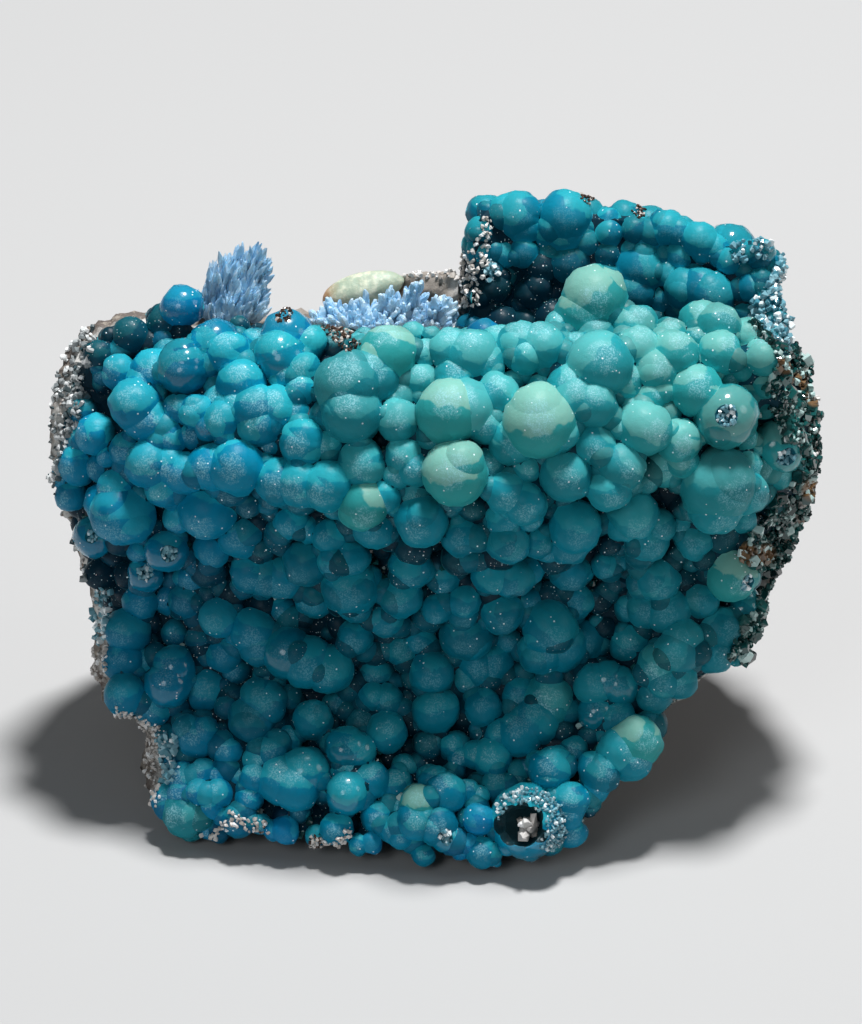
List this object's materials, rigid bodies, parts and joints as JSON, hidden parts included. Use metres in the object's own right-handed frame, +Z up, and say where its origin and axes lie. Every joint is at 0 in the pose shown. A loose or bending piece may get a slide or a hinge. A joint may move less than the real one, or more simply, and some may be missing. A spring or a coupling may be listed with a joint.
{
  "type": "botryoidal mineral specimen",
  "caption": "Hand-sized plumbogummite: a leaning broken rock with a thick blue-green crust of round lumps, a hollow behind its ridge, and small pale-blue crystals on top.",
  "frame": {"origin": "middle of the specimen's outline box on the flat face that it rests on", "axes": "+X along its width, to the right as its lumpy face is looked at; +Y to its broken back; +Z up"},
  "size_m": [0.0694, 0.0446, 0.0496],
  "materials": {
    "rock": "matte",
    "plumbogummite": "satin",
    "pale_blue_left": "satin",
    "pale_blue_centre": "satin",
    "sage": "satin"
  },
  "bodies": {
    "root": {"matrix_rock": "rock", "botryoidal_crust": "plumbogummite", "pale_blue_crystals_left": "pale_blue_left", "pale_blue_crystals_centre": "pale_blue_centre", "sage_green_lump": "sage"}
  },
  "joints": []
}
